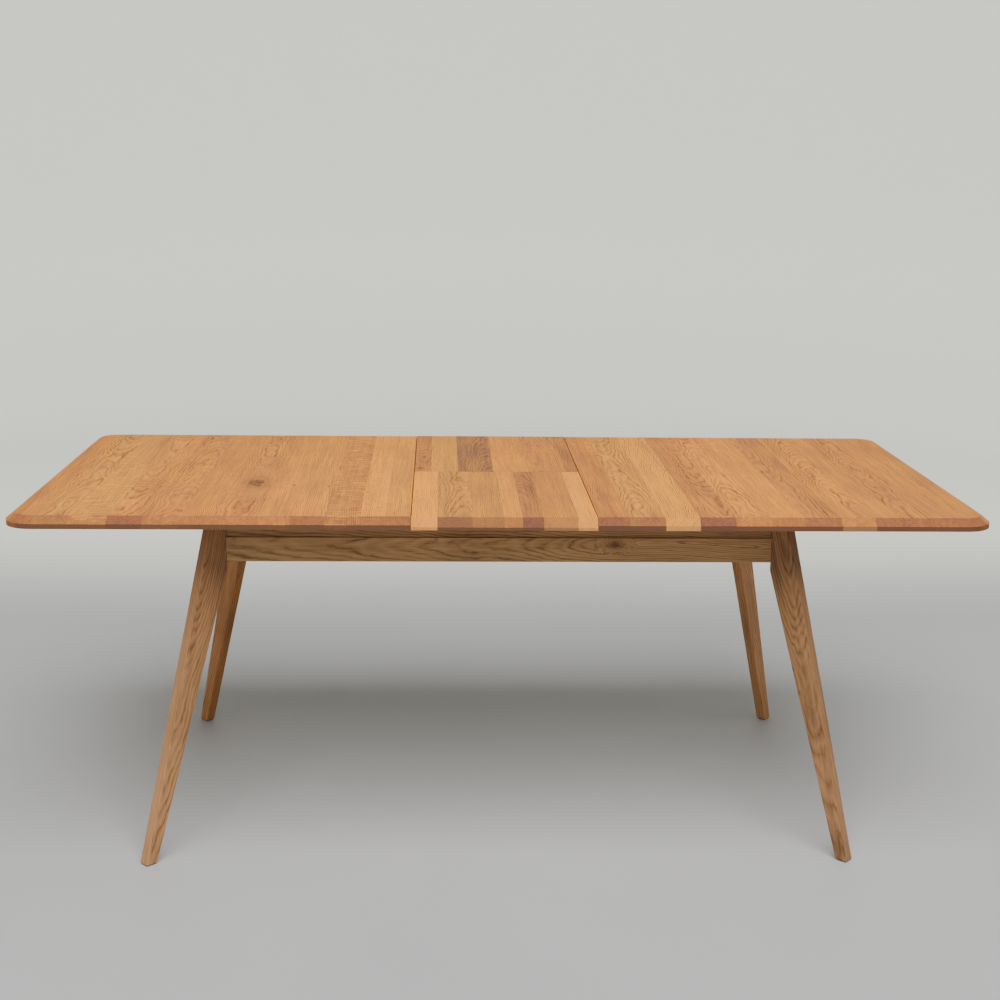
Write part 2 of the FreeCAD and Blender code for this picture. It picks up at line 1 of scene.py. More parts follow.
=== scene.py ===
"""An extending dining table in oiled oak, pulled out with its folding leaf in the middle.

Metres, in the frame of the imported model: X along the table, Y from front to back, Z up from the floor.
"""
from math import cos, pi, radians, sin, sqrt

import bmesh
import bpy
from mathutils import Matrix, Vector


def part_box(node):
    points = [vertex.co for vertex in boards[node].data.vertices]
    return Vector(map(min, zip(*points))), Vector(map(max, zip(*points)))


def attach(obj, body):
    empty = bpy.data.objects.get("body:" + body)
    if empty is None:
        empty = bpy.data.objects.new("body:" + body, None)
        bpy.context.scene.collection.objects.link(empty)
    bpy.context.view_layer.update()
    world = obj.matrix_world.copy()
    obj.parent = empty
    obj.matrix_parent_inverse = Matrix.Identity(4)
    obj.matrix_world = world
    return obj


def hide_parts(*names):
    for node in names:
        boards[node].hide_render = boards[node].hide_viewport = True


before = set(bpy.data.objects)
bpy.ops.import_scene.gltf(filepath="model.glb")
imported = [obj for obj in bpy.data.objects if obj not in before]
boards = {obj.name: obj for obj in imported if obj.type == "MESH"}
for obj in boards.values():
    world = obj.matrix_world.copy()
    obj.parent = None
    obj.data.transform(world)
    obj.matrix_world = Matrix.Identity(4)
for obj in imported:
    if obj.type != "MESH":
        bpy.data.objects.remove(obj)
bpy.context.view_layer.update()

# Aprons: four planed oak boards on edge, mitred at the corners and glued to blocks inside. The grain runs
# along each of them, and the long front one has a small sound knot a third of the way from its right end.
FRAME_PALE = (0.577, 0.357, 0.166)
FRAME_DEEP = (0.14, 0.075, 0.036)
PORE_BROWN = (0.075, 0.032, 0.014, 1)
LINE_SHADE = (0.42, 0.38, 0.33, 1)
KNOT_BROWN = (0.06, 0.03, 0.017, 1)
DRIFT_PATCH, DRIFT_REACH = (2.6, 1.6, 2.6), 0.06
WAVE_PATCH, WAVE_REACH = (30.0, 10.0, 30.0), 0.009
JITTER_PATCH, JITTER_REACH = (120.0, 42.0, 120.0), 0.0022
FIBRE_PATCH = (620.0, 24.0, 620.0)
STREAK_PATCH = (150.0, 5.0, 150.0)
TONE_PATCH = (15.0, 5.5, 15.0)
FLECK_PATCH = (34.0, 270.0, 34.0)
GRAIN_DEPTH = 0.0004
KNOT_DRAWN = 0.46
KNOT_RING = 0.55
HEART_MARGIN = 0.3
HEART_DEPTH = 0.3


def step(tree, kind, feeds, **settings):
    """One step of a finish, with its settings and whatever feeds its sockets."""
    made = tree.nodes.new("ShaderNode" + kind)
    for name, value in settings.items():
        setattr(made, name, value)
    for socket, feed in feeds.items():
        if isinstance(feed, bpy.types.NodeSocket):
            tree.links.new(feed, made.inputs[socket])
        else:
            made.inputs[socket].default_value = feed
    return made


def reckon(tree, rule, *terms):
    """A sum on one number for each point of the surface."""
    return step(tree, "Math", dict(enumerate(terms)), operation=rule).outputs[0]


def between(tree, value, low, high, start=0.0, end=1.0):
    """A soft rise from start to end while a value goes from low to high."""
    feeds = {0: value, 1: low, 2: high, 3: start, 4: end}
    return step(tree, "MapRange", feeds, interpolation_type="SMOOTHSTEP").outputs[0]


def cloud(tree, point, stretch, detail):
    """Soft irregular patches, drawn out by different amounts along the three axes."""
    spread = step(tree, "VectorMath", {0: point, 1: stretch}, operation="MULTIPLY").outputs[0]
    return step(tree, "TexNoise", {"Vector": spread, "Scale": 1.0, "Detail": detail}).outputs


def tinted(tree, share, under, over, blend="MIX"):
    """One colour laid over another."""
    return step(tree, "Mix", {0: share, 6: under, 7: over}, data_type="RGBA", blend_type=blend).outputs[2]


def oak_figure():
    """How oak looks wherever it is cut: rings about the heart of the log, pores, rays and a slow drift."""
    tree = bpy.data.node_groups.new("oak figure", "ShaderNodeTree")
    sockets = [
        ("Point", "Vector"), ("Heart", "Vector"), ("Tone", "Float"), ("Seed", "Float"), ("Swell", "Float"),
        ("Rings", "Float"), ("Force", "Float"), ("Rays", "Float"), ("Pale", "Color"), ("Deep", "Color"),
    ]
    for name, kind in sockets:
        tree.interface.new_socket(name, in_out="INPUT", socket_type="NodeSocket" + kind)
    for name, kind in (("Color", "Color"), ("Height", "Float"), ("Roughness", "Float")):
        tree.interface.new_socket(name, in_out="OUTPUT", socket_type="NodeSocket" + kind)
    given = tree.nodes.new("NodeGroupInput").outputs
    seed = given["Seed"]

    shift = step(tree, "CombineXYZ", {0: reckon(tree, "MULTIPLY", seed, 29.0), 2: seed}).outputs[0]
    spot = step(tree, "VectorMath", {0: given["Point"], 1: shift}, operation="ADD").outputs[0]
    drift = cloud(tree, spot, DRIFT_PATCH, 2.0)[1]
    drift = step(tree, "VectorMath", {0: drift, 1: (0.5, 0.5, 0.5)}, operation="SUBTRACT").outputs[0]
    drift = step(tree, "VectorMath", {0: drift, "Scale": DRIFT_REACH}, operation="SCALE").outputs[0]
    out = step(tree, "VectorMath", {0: given["Point"], 1: given["Heart"]}, operation="SUBTRACT").outputs[0]
    out = step(tree, "VectorMath", {0: out, 1: drift}, operation="ADD").outputs[0]
    across, along, deep = step(tree, "SeparateXYZ", {0: out}).outputs
    lean = reckon(tree, "MULTIPLY_ADD", seed, 0.16, -0.08)
    deep = reckon(tree, "MULTIPLY_ADD", along, lean, deep)
    ray = step(tree, "CombineXYZ", {0: across, 2: deep}).outputs[0]
    distance = step(tree, "VectorMath", {0: ray}, operation="LENGTH").outputs["Value"]
    wave, jitter = cloud(tree, spot, WAVE_PATCH, 3.0)[0], cloud(tree, spot, JITTER_PATCH, 2.0)[0]
    wobble = reckon(tree, "MULTIPLY_ADD", wave, WAVE_REACH, given["Swell"])
    wobble = reckon(tree, "MULTIPLY_ADD", jitter, JITTER_REACH, wobble)

    phase = reckon(tree, "MULTIPLY", reckon(tree, "ADD", distance, wobble), given["Rings"])
    swing = reckon(tree, "COSINE", reckon(tree, "MULTIPLY", phase, 2 * pi))
    early = reckon(tree, "POWER", reckon(tree, "MULTIPLY_ADD", swing, 0.5, 0.5), 6.0)
    late = reckon(tree, "POWER", reckon(tree, "MULTIPLY_ADD", swing, -0.5, 0.5), 4.0)
    year = reckon(tree, "MULTIPLY_ADD", seed, 97.0, reckon(tree, "ROUND", phase))
    year = step(tree, "TexWhiteNoise", {"W": year}, noise_dimensions="1D").outputs[0]
    fibre = cloud(tree, spot, FIBRE_PATCH, 2.0)[0]
    cut = reckon(tree, "DIVIDE", reckon(tree, "ABSOLUTE", across), distance)
    line = reckon(tree, "MULTIPLY", early, reckon(tree, "MULTIPLY_ADD", year, 0.85, 0.15))
    line = reckon(tree, "MULTIPLY", line, between(tree, fibre, 0.3, 0.6, 0.45, 1.0))
    line = reckon(tree, "MULTIPLY", line, between(tree, cut, 0.0, 0.25, 0.4, 1.0))
    pores = between(tree, fibre, 0.53, 0.7)
    pores = reckon(tree, "MULTIPLY", pores, reckon(tree, "MULTIPLY_ADD", early, 0.75, 0.25))
    streak = cloud(tree, spot, STREAK_PATCH, 3.0)[0]
    patch = cloud(tree, spot, TONE_PATCH, 3.0)[0]
    flecks = between(tree, cloud(tree, spot, FLECK_PATCH, 2.0)[0], 0.57, 0.63)
    flecks = reckon(tree, "MULTIPLY", flecks, between(tree, cut, 0.94, 0.995))

    play = reckon(tree, "MULTIPLY", reckon(tree, "SUBTRACT", patch, 0.5), 0.5)
    play = reckon(tree, "MULTIPLY_ADD", reckon(tree, "SUBTRACT", streak, 0.5), 0.55, play)
    play = reckon(tree, "MULTIPLY_ADD", late, 0.1, play)
    tone = reckon(tree, "MULTIPLY_ADD", play, given["Force"], given["Tone"])
    tone = reckon(tree, "MULTIPLY_ADD", flecks, given["Rays"], tone)
    color = tinted(tree, tone, given["Deep"], given["Pale"])
    blush = reckon(tree, "FRACT", reckon(tree, "MULTIPLY", seed, 7.7))
    blush = tinted(tree, blush, (1.0, 0.95, 0.9, 1), (0.95, 1.0, 1.0, 1))
    color = tinted(tree, 1.0, color, blush, "MULTIPLY")
    color = tinted(tree, reckon(tree, "MULTIPLY", line, given["Force"]), color, LINE_SHADE, "MULTIPLY")
    color = tinted(tree, reckon(tree, "MULTIPLY", pores, 0.5), color, PORE_BROWN)
    height = reckon(tree, "MULTIPLY_ADD", line, -0.3, reckon(tree, "MULTIPLY", pores, -0.7))
    rough = reckon(tree, "MULTIPLY_ADD", pores, 0.18, reckon(tree, "MULTIPLY_ADD", patch, 0.16, 0.42))
    result = tree.nodes.new("NodeGroupOutput")
    for name, value in (("Color", color), ("Height", height), ("Roughness", rough)):
        tree.links.new(value, result.inputs[name])
    return tree


OAK_FIGURE = oak_figure()


def keyed(tree, portion, rows):
    """A colour for each stretch of the way across, with sharp changes between them."""
    card = step(tree, "ValToRGB", {0: portion})
    stops = card.color_ramp.elements
    card.color_ramp.interpolation = "CONSTANT"
    stops.remove(stops[-1])
    for index, (start, color) in enumerate(rows):
        stop = stops.new(start) if index else stops[0]
        stop.position = start
        stop.color = color
    return card.outputs


def oak(name, pale, deep, along, across, middle, staves, knots=(),
        rings=240.0, force=1.15, painted_shade_slope=0.0, edges=None):
    """Oiled oak for a board, or for staves side by side, each with its width, tone and heart of the log.

    The heart is given across from the middle of the stave and down from its middle. A stave of a slab also
    has the thirst of its end grain. A knot has its place across and along, and its radius. Rings is how many
    years the log grew in a metre, force how strongly the figure shows, and fade how much the tone gains along
    the grain in a metre; the legs use that as painted shade, darker towards their tops under the table top. A
    slab is given with how its edges are toned. It shows rays where it is cut to the heart, and is less shiny
    than a board.
    """
    finish = bpy.data.materials.new(name)
    finish.use_nodes = True
    tree = finish.node_tree
    shader = tree.nodes["Principled BSDF"]
    across, along = Vector(across).normalized(), Vector(along).normalized()
    turn = Matrix((across, along, across.cross(along))).transposed().to_euler()
    seen = step(tree, "TexCoord", {}).outputs
    feeds = {"Vector": seen["Object"], "Location": middle, "Rotation": turn}
    point = step(tree, "Mapping", feeds, vector_type="TEXTURE").outputs[0]
    place, length = step(tree, "SeparateXYZ", {0: point}).outputs[:2]

    width = sum(stave[0] for stave in staves)
    low, high = -width / 2 - HEART_MARGIN, width / 2 + HEART_MARGIN
    portion = step(tree, "MapRange", {0: place, 1: -width / 2, 2: width / 2}).outputs[0]
    start = 0.0
    logs, thirsts = [], []
    for index, (size, tone, heart_across, heart_depth, *thirst) in enumerate(staves):
        heart = (start + size / 2 - width / 2 + heart_across - low) / (high - low)
        seed = (index * 0.381 + 0.13) % 1
        logs.append((start / width, (tone, heart, heart_depth / HEART_DEPTH, seed)))
        thirsts.append((start / width, (*thirst * 3, 1)))
        start += size
    card, seed = keyed(tree, portion, logs)
    tone, heart, depth = step(tree, "SeparateColor", {0: card}).outputs
    # The tone can gain along the grain; on the legs this is painted shade, darker towards the top.
    if painted_shade_slope:
        tone = reckon(tree, "MULTIPLY_ADD", length, painted_shade_slope, tone)
    heart = step(tree, "CombineXYZ", {
        0: reckon(tree, "MULTIPLY_ADD", heart, high - low, low),
        2: reckon(tree, "MULTIPLY", depth, -HEART_DEPTH),
    }).outputs[0]

    swell = 0.0
    shades = []
    for knot_across, knot_along, radius in knots:
        feeds = {0: point, 1: (1.0, KNOT_DRAWN, 0.0), 2: (-knot_across, -knot_along * KNOT_DRAWN, 0.0)}
        reach = step(tree, "VectorMath", feeds, operation="MULTIPLY_ADD").outputs[0]
        reach = step(tree, "VectorMath", {0: reach}, operation="LENGTH").outputs["Value"]
        ragged = cloud(tree, point, (1.3 / radius, 0.8 / radius, 1.3 / radius), 4.0)[0]
        reach = reckon(tree, "MULTIPLY_ADD", reckon(tree, "SUBTRACT", ragged, 0.5), radius * 1.7, reach)
        swell = reckon(tree, "ADD", between(tree, reach, 0.0, radius * 3.5, radius * 3.2, 0.0), swell)
        shades.append((between(tree, reach, radius * 0.3, radius * 2.2, 0.6, 0.0), (*deep, 1)))
        ripple = reckon(tree, "COSINE", reckon(tree, "MULTIPLY", reach, 2 * pi / (radius * KNOT_RING)))
        ripple = reckon(tree, "POWER", reckon(tree, "MULTIPLY_ADD", ripple, 0.5, 0.5), 3.0)
        ripple = reckon(tree, "MULTIPLY", ripple, between(tree, reach, radius * 0.3, radius * 1.9, 0.6, 0.0))
        shades.append((ripple, KNOT_BROWN))
        checks = cloud(tree, point, (3.5 / radius, 1.2 / radius, 3.5 / radius), 2.0)[0]
        checks = between(tree, checks, 0.4, 0.6, 0.35, 0.85)
        shades.append((between(tree, reach, radius * 0.1, radius * 0.8, checks, 0.0), KNOT_BROWN))

    figure = step(tree, "Group", {}, node_tree=OAK_FIGURE)
    feeds = {"Point": point, "Heart": heart, "Tone": tone, "Seed": seed, "Swell": swell}
    for socket, feed in feeds.items():
        if isinstance(feed, bpy.types.NodeSocket):
            tree.links.new(feed, figure.inputs[socket])
    figure.inputs["Rings"].default_value = rings
    figure.inputs["Force"].default_value = force
    figure.inputs["Rays"].default_value = 0.7 if edges else 0.0
    figure.inputs["Pale"].default_value = (*pale, 1)
    figure.inputs["Deep"].default_value = (*deep, 1)
    color, height, rough = figure.outputs
    for share, shade in shades:
        color = tinted(tree, share, color, shade)
    if edges:
        color = edges(tree, color, seen, keyed(tree, portion, thirsts)[0])
    tree.links.new(color, shader.inputs["Base Color"])
    tree.links.new(rough, shader.inputs["Roughness"])
    shader.inputs["Specular IOR Level"].default_value = 0.012 if edges else 0.12
    bump = step(tree, "Bump", {"Height": height, "Strength": 0.35, "Distance": GRAIN_DEPTH})
    tree.links.new(bump.outputs[0], shader.inputs["Normal"])
    return finish


def finished(finish, *names):
    """Give CAD pieces their finish."""
    for name in names:
        boards[name].data.materials.clear()
        boards[name].data.materials.append(finish)


apron_long = oak("oak of the long aprons", FRAME_PALE, FRAME_DEEP, (1, 0, 0), (0, 0, 1), (0, -0.261, 0.639),
                 [(0.06, 0.5, 0.006, 0.045)], [(0.012, 0.24, 0.007)])
apron_end = oak("oak of the end aprons", FRAME_PALE, FRAME_DEEP, (0, 1, 0), (0, 0, 1), (-0.578, 0, 0.639),
                [(0.06, 0.45, 0.05, 0.06)])
finished(apron_long, "apron_front", "apron_back")
finished(apron_end, "apron_left", "apron_right")

# Corner blocks: short lengths of oak glued into the corners between the aprons, with the grain along the
# frame. They take the pull of the leg bolts.
block_oak = oak("oak of the corner blocks", FRAME_PALE, FRAME_DEEP, (1, 0, 0), (0, 1, 0), (0, 0, 0.639),
                [(0.06, 0.55, 0.08, 0.05)])
finished(block_oak, *(name for name in boards if name.startswith("corner_block")))

# Legs: tapered oak boards set cornerwise, splayed out along the diagonals, with eased long edges. Each was
# sawn with the grain along its length, and is painted darker towards its top as shade under the table top.
# The back left one came from a redder board than the others.
LEG_PALE = (0.63, 0.327, 0.143)
LEG_DEEP = (0.125, 0.073, 0.039)
RED_PALE = (0.7, 0.33, 0.12)
RED_DEEP = (0.135, 0.065, 0.03)
LEG_LEAN = radians(15.3)
LEG_RINGS = 250.0
LEG_FORCE = 1.1
LEG_WIDTH = 0.08
# Heading, pale and deep colour, tone and its fade up the leg (painted shade, darker upwards), heart of the
# log across and down.
LEGS = {
    "front_left": (-135, LEG_PALE, LEG_DEEP, 0.39, -0.33, 0.012, 0.06),
    "front_right": (-45, LEG_PALE, LEG_DEEP, 0.23, -0.14, -0.006, 0.035),
    "back_right": (45, LEG_PALE, LEG_DEEP, 0.51, -0.3, 0.05, 0.05),
    "back_left": (135, RED_PALE, RED_DEEP, 0.4, -0.3, 0.03, 0.04),
}
for corner, (heading, pale, deep, tone, painted_shade_slope, heart_across, heart_depth) in LEGS.items():
    out = Vector((cos(radians(heading)), sin(radians(heading)), 0))
    along = Vector((0, 0, cos(LEG_LEAN))) - out * sin(LEG_LEAN)
    across = Vector((0, 0, sin(LEG_LEAN))) + out * cos(LEG_LEAN)
    low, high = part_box("leg_" + corner)
    leg_oak = oak("oak of leg " + corner, pale, deep, along, across, (Vector(low) + Vector(high)) / 2,
                  [(LEG_WIDTH, tone, heart_across, heart_depth)], (), LEG_RINGS, LEG_FORCE, painted_shade_slope)
    finished(leg_oak, "leg_" + corner)

# Pads: small dark plastic squares pinned under the feet. They keep the end grain off a wet floor and let the
# table slide without scratching.
PAD_DARK = (0.02, 0.017, 0.014, 1)
PAD_GREY = (0.055, 0.048, 0.04, 1)
PAD_GRIT = (900.0, 900.0, 900.0)
pad_plastic = bpy.data.materials.new("dark plastic of the pads")
pad_plastic.use_nodes = True
tree = pad_plastic.node_tree
grit = cloud(tree, step(tree, "TexCoord", {}).outputs["Object"], PAD_GRIT, 3.0)[0]
shader = tree.nodes["Principled BSDF"]
grey = tinted(tree, grit, PAD_DARK, PAD_GREY)
tree.links.new(grey, shader.inputs["Base Color"])
tree.links.new(between(tree, grit, 0.2, 0.8, 0.55, 0.75), shader.inputs["Roughness"])
finished(pad_plastic, *(name for name in boards if name.startswith("glide")))

# Leg bolts: two plated steel bolts to a leg, turned into it from inside. A nut on a washer behind each corner
# block draws the leg up against the frame, and a few turns of thread stand out past the nut.
BOLT_RADIUS = 0.004
BOLT_TIP = 0.0027
BOLT_HEEL = 0.003
BOLT_ROOT = 0.0034
BOLT_PITCH = 0.00125
THREAD_START, THREAD_END = 0.0006, 0.02
BOLT_EASE = 0.001
WASHER_RADIUS = 0.01
WASHER_THICK = 0.002
WASHER_EDGE = 0.0003
ZINC_DULL = (0.5, 0.5, 0.49, 1)
ZINC_BRIGHT = (0.7, 0.69, 0.66, 1)
ZINC_PATCH = (140.0, 140.0, 140.0)
TURNED_SIDES = 24
TURNED_MERGED = 0.000001
MERGED = 0.00001

zinc = bpy.data.materials.new("zinc plated steel")
zinc.use_nodes = True
tree = zinc.node_tree
stain_and_seam_shade = cloud(tree, step(tree, "TexCoord", {}).outputs["Object"], ZINC_PATCH, 4.0)[0]
shader = tree.nodes["Principled BSDF"]
shader.inputs["Metallic"].default_value = 1.0
tree.links.new(tinted(tree, stain_and_seam_shade, ZINC_DULL, ZINC_BRIGHT), shader.inputs["Base Color"])
tree.links.new(between(tree, stain_and_seam_shade, 0.25, 0.75, 0.28, 0.5), shader.inputs["Roughness"])


def solids(name):
    """The lowest and highest corners of each solid in a group of fasteners."""
    mesh = bmesh.new()
    mesh.from_mesh(boards[name].data)
    bmesh.ops.remove_doubles(mesh, verts=mesh.verts[:], dist=MERGED)
    left, found = set(mesh.verts), []
    while left:
        reached = [left.pop()]
        for vert in reached:
            beside = {edge.other_vert(vert) for edge in vert.link_edges} & left
            left -= beside
            reached.extend(beside)
        sides = list(zip(*(vert.co for vert in reached)))
        found.append((Vector(map(min, sides)), Vector(map(max, sides))))
    mesh.free()
    return found


def turned(outline, sides, hollow=False):
    """A turned shape: an outline of radius and height, spun about the upright axis."""
    mesh = bmesh.new()
    points = [mesh.verts.new((radius, 0, height)) for radius, height in outline]
    lines = [mesh.edges.new(pair) for pair in zip(points, points[1:])]
    if hollow:
        lines.append(mesh.edges.new((points[-1], points[0])))
    bmesh.ops.spin(mesh, geom=points + lines, axis=(0, 0, 1), angle=2 * pi, steps=sides, use_merge=True)
    bmesh.ops.remove_doubles(mesh, verts=mesh.verts[:], dist=TURNED_MERGED)
    if not hollow:
        bmesh.ops.holes_fill(mesh, edges=mesh.edges[:])
    bmesh.ops.recalc_face_normals(mesh, faces=mesh.faces[:])
    return mesh


def set_in(whole, one, start, heading):
    """Add one turned shape to a group, with its foot at a point and its axis along a heading."""
    bmesh.ops.rotate(one, matrix=heading.to_track_quat("Z", "Y").to_matrix(), verts=one.verts[:])
    bmesh.ops.translate(one, vec=start, verts=one.verts[:])
    carrier = bpy.data.meshes.new("carrier")
    one.to_mesh(carrier)
    one.free()
    whole.from_mesh(carrier)
    bpy.data.meshes.remove(carrier)


def fitted(whole, name, body, finish):
    """Show a finished group in the place of its plainer solids."""
    piece = bpy.data.objects.new(name + "_shown", bpy.data.meshes.new(name + "_shown"))
    whole.to_mesh(piece.data)
    whole.free()
    piece.data.materials.append(finish)
    bpy.context.scene.collection.objects.link(piece)
    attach(piece, body)
    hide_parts(name)
    return piece


def ridges(start, end, pitch, root, crest):
    """The outline of a thread between two heights."""
    outline = []
    for index in range(int((end - start) / pitch)):
        outline += [(root, start + index * pitch), (crest, start + (index + 0.5) * pitch)]
    return outline


def outward(place):
    """The heading of the nearest leg, seen from the middle of the table."""
    return Vector((1 if place.x > 0 else -1, 1 if place.y > 0 else -1, 0)).normalized()


bolts, washers = bmesh.new(), bmesh.new()
for low, high in solids("leg_bolts"):
    heading = outward(low)
    length = (high.x - low.x) * sqrt(2) - 2 * BOLT_RADIUS
    outline = [(BOLT_TIP, 0.0), *ridges(THREAD_START, THREAD_END, BOLT_PITCH, BOLT_ROOT, BOLT_RADIUS)]
    outline += [(BOLT_RADIUS, THREAD_END + BOLT_EASE), (BOLT_RADIUS, length - BOLT_EASE)]
    outline.append((BOLT_HEEL, length))
    set_in(bolts, turned(outline, TURNED_SIDES), (low + high) / 2 - heading * length / 2, heading)
for low, high in solids("leg_washers"):
    heading = outward(low)
    outline = [
        (BOLT_RADIUS + WASHER_EDGE, 0), (WASHER_RADIUS - WASHER_EDGE, 0), (WASHER_RADIUS, WASHER_EDGE),
        (WASHER_RADIUS, WASHER_THICK - WASHER_EDGE), (WASHER_RADIUS - WASHER_EDGE, WASHER_THICK),
        (BOLT_RADIUS + WASHER_EDGE, WASHER_THICK),
    ]
    start = (low + high) / 2 - heading * WASHER_THICK / 2
    set_in(washers, turned(outline, TURNED_SIDES, True), start, heading)
fitted(bolts, "leg_bolts", "frame", zinc)
fitted(washers, "leg_washers", "frame", zinc)
finished(zinc, "leg_nuts")

# Guide rails: oak battens dowelled on the long aprons, a little back from their faces. Each has a stopped
# groove inside for the tongue of a runner, and the dowels are plain beech.
rail_oak = oak("oak of the guide rails", FRAME_PALE, FRAME_DEEP, (1, 0, 0), (0, 0, 1), (0, -0.251, 0.693),
               [(0.06, 0.36, 0.03, 0.06)])
finished(rail_oak, "guide_rail_front", "guide_rail_back")
BEECH_PALE = (0.6, 0.42, 0.26)
BEECH_DEEP = (0.4, 0.26, 0.15)
beech = oak("plain beech of the dowels", BEECH_PALE, BEECH_DEEP, (0, 0, 1), (1, 0, 0), (0, 0, 0.665),
            [(1.2, 0.6, 0.2, 0.1)])
finished(beech, "rail_dowels")

# Bearing strips: thin oak strips screwed on the end aprons, waxed where the runners slide over them. Their
# screws have low round heads with a six-pointed socket, sunk in flat-bottomed bores.
SCREW_HEAD = 0.0045
SCREW_CAP = 0.0035
SCREW_DOME = [(0.0033, 0.0), (0.0041, 0.0004), (SCREW_HEAD, 0.0013), (SCREW_HEAD, SCREW_CAP)]
SCREW_SHANK = 0.0022
SCREW_PLAIN = 0.006
SCREW_ROOT = 0.0015
SCREW_POINT = 0.0004
SCREW_PITCH = 0.0018
SCREW_RUNOUT = 0.0005
SCREW_TAPER = 0.002
SCREW_SIDES = 12
SOCKET_RIM = 0.0006
SOCKET_WAIST = 0.72
SOCKET_DEEP = 0.0017


def wood_screws(name, body, heading_at):
    """Wood screws in the places of a group's solids, each driven along the heading for its place."""
    whole = bmesh.new()
    for low, high in solids(name):
        heading = heading_at((low + high) / 2)
        length = abs((high - low).dot(heading))
        neck = SCREW_CAP + SCREW_PLAIN
        outline = [*SCREW_DOME, (SCREW_SHANK, SCREW_CAP), (SCREW_SHANK, neck)]
        outline += ridges(neck + SCREW_RUNOUT, length - SCREW_TAPER, SCREW_PITCH, SCREW_ROOT, SCREW_SHANK)
        one = turned([*outline, (SCREW_POINT, length)], SCREW_SIDES)
        crown = min(one.faces, key=lambda face: face.calc_center_median().z)
        bmesh.ops.inset_region(one, faces=[crown], thickness=SOCKET_RIM)
        bmesh.ops.scale(one, vec=(SOCKET_WAIST, SOCKET_WAIST, 1), verts=list(crown.verts)[::2])
        pit = bmesh.ops.extrude_discrete_faces(one, faces=[crown])["faces"][0]
        bmesh.ops.translate(one, vec=(0, 0, SOCKET_DEEP), verts=pit.verts[:])
        set_in(whole, one, (low + high) / 2 - heading * length / 2, heading)
    fitted(whole, name, body, zinc)


strip_oak = oak("oak of the bearing strips", FRAME_PALE, FRAME_DEEP, (0, 1, 0), (1, 0, 0), (0, 0, 0.671),
                [(1.2, 0.5, 0.2, 0.1)])
finished(strip_oak, "bearer_left", "bearer_right")
wood_screws("bearer_screws", "frame", lambda place: Vector((0, 0, -1)))

# Leaf rack: three oak slats screwed across two ledgers, low in the frame. The folded leaf lies on them when
# it isn't in use, and the ledgers are screwed to the long aprons from inside.
ledger_oak = oak("oak of the ledgers", FRAME_PALE, FRAME_DEEP, (1, 0, 0), (0, 1, 0), (0, 0, 0.622),
                 [(0.6, 0.45, 0.1, 0.06)])
slat_oak = oak("oak of the slats", FRAME_PALE, FRAME_DEEP, (0, 1, 0), (1, 0, 0), (0, 0, 0.638),
               [(0.14, 0.6, 0.0, 0.05), (0.16, 0.5, 0.02, 0.07), (0.14, 0.55, -0.1, 0.03)])
finished(ledger_oak, "ledger_front", "ledger_back")
finished(slat_oak, "leaf_slat_left", "leaf_slat_middle", "leaf_slat_right")
wood_screws("ledger_screws", "frame", lambda place: Vector((0, 1 if place.y > 0 else -1, 0)))
wood_screws("slat_screws", "frame", lambda place: Vector((0, 0, -1)))

# Runners: two oak bars screwed under each half from below. They reach past the seam to carry the leaf, and
# slide past the other half's bars, tongue in groove.
runner_oak = oak("oak of the runners", FRAME_PALE, FRAME_DEEP, (1, 0, 0), (0, 1, 0), (0, 0, 0.7),
                 [(0.24, 0.5, 0.1, 0.05), (0.24, 0.45, -0.09, 0.07)])
finished(runner_oak, "outer_runner_left", "outer_runner_right", "inner_runner_left", "inner_runner_right")
for side in ("left", "right"):
    wood_screws("runner_screws_" + side, side + "_half", lambda place: Vector((0, 0, 1)))

# Halves of the top: slabs glued up from solid oak staves that run from front to back, about 70 mm wide, and
# oiled. The outer edges have a broad bevel, and the staves show their end grain at the front and the back.
TOP_PALE = (0.92, 0.345, 0.026)
TOP_DEEP = (0.23, 0.094, 0.05)
TOP_RINGS = 330.0
HALF_FORCE = 1.3
# Bevel colour: oil-soaked end grain, with a painted sheen in its blue-grey tint.
BEVEL_SOAK_AND_SHEEN = (0.085, 0.032, 0.04, 1)
END_BROWN = (0.118, 0.058, 0.035, 1)
# Painted shade for the gaps at the seams, near black.
SEAM_SHADE_BROWN = (0.018, 0.013, 0.011, 1)
BARE_BROWN = (0.4, 0.235, 0.115, 1)
BEVEL_LEAST, BEVEL_GAIN = 0.1, 0.62
SOAKED_FROM = 0.4
END_SHARES = (0.45, 0.93)
BARE_SHARE = 0.55
JOINT_REACH = 0.3
# Heights over which the painted seam shade goes from dark brown to near black.
SEAM_SHADE_LOW, SEAM_SHADE_HIGH = 0.742, 0.749
ARRIS = 0.0009
ARRIS_SEGMENTS = 2
ARRIS_TURN = radians(10)
FLAT_TURN = radians(1)
SHARP_TURN = radians(25)
LEVEL_SLACK = 0.0001
